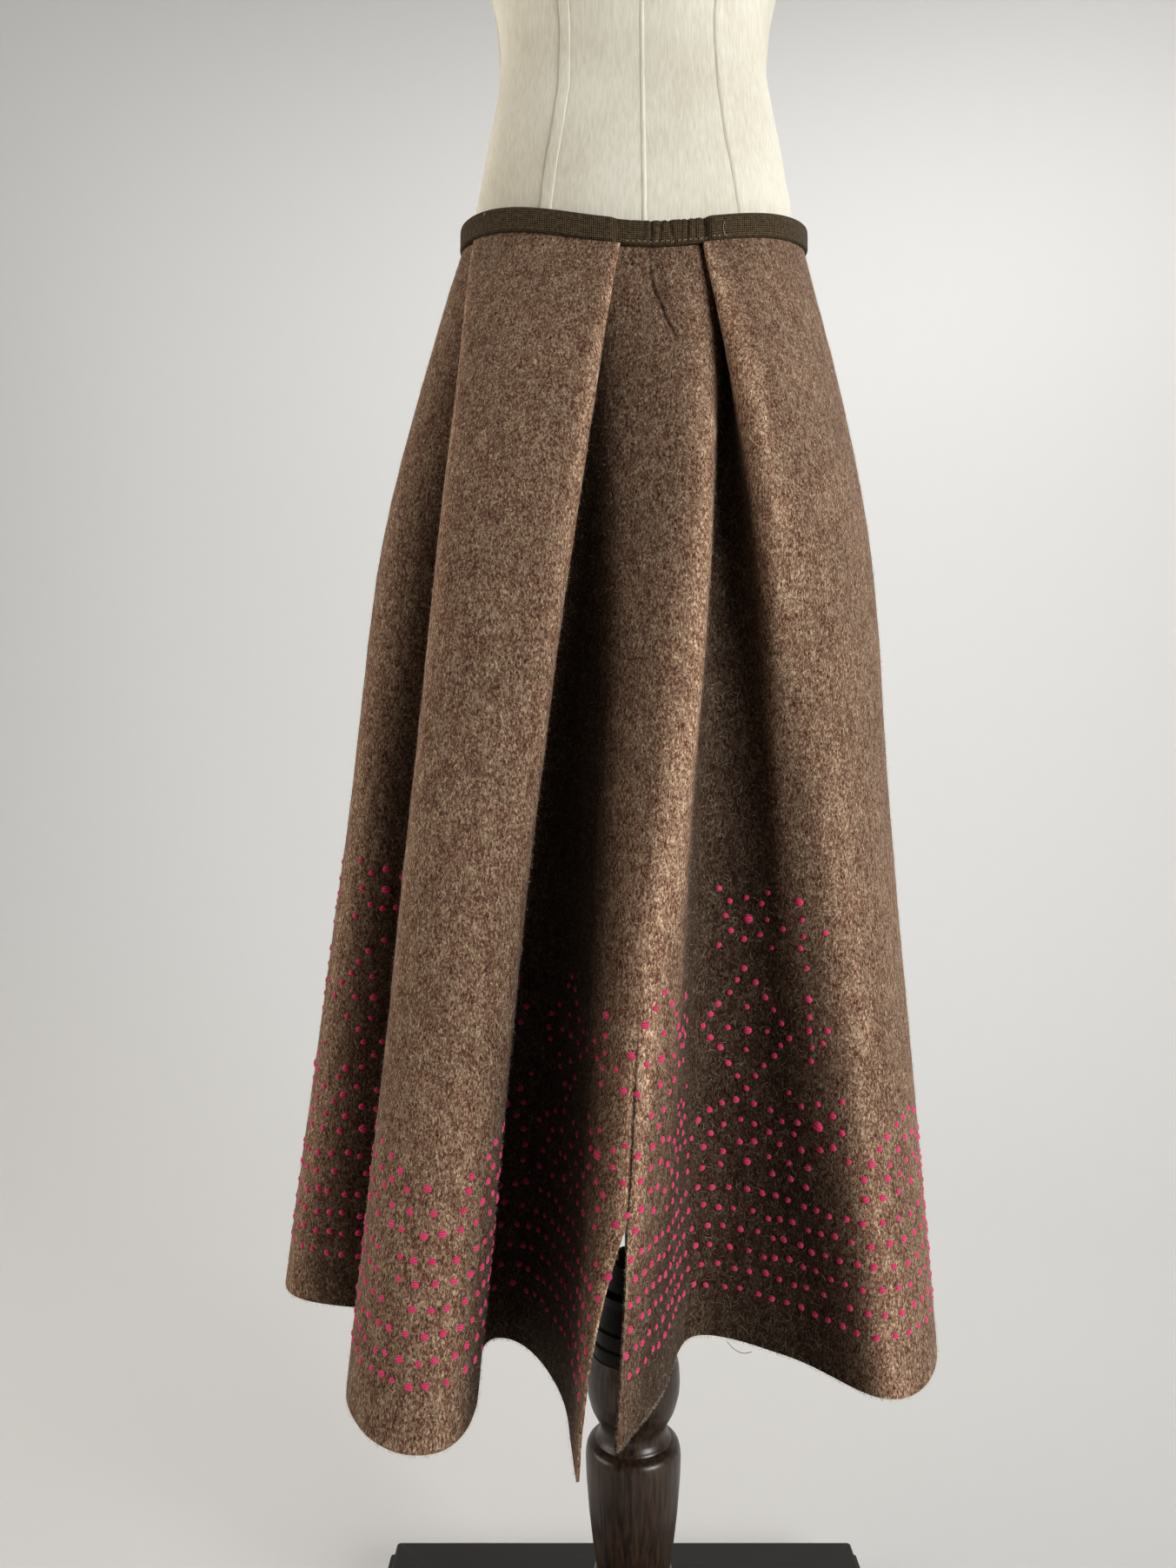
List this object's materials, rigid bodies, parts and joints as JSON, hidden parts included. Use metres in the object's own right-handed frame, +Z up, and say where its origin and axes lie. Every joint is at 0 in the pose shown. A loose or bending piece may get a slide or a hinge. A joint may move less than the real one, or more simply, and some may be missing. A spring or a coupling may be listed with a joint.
{
  "type": "midi skirt worn on a limbless dress form",
  "caption": "Felted wool midi skirt with deep pleats, a bound waist, a front slit and a pink embroidered hem, worn on a limbless dress form with a turned wood stand and square base.",
  "frame": {"origin": "on the floor, at the middle of the underside of the square base, under the axis of the stand's post", "axes": "+Z up along the post, -Y towards the front of the skirt, +X to the viewer's right"},
  "size_m": [0.5233, 0.489, 1.915],
  "materials": {
    "felted_wool": "thick felted wool, marled taupe brown, with raw edges at hem and slit",
    "linen_tape": "fine dark olive-brown tape, matte",
    "calico": "plain ivory weave, matte",
    "dark_wood": "dark stained hardwood, satin",
    "black_metal": "black, satin"
  },
  "bodies": {
    "root": {"skirt_front_left": "felted_wool", "skirt_front_right": "felted_wool", "skirt_back": "felted_wool", "waistband": "linen_tape", "form_torso": "calico", "form_neck_cap": "dark_wood", "stand_rod": "black_metal", "stand_collar": "black_metal", "stand_post": "dark_wood", "base_board": "dark_wood", "base_plinth": "dark_wood"}
  },
  "joints": []
}
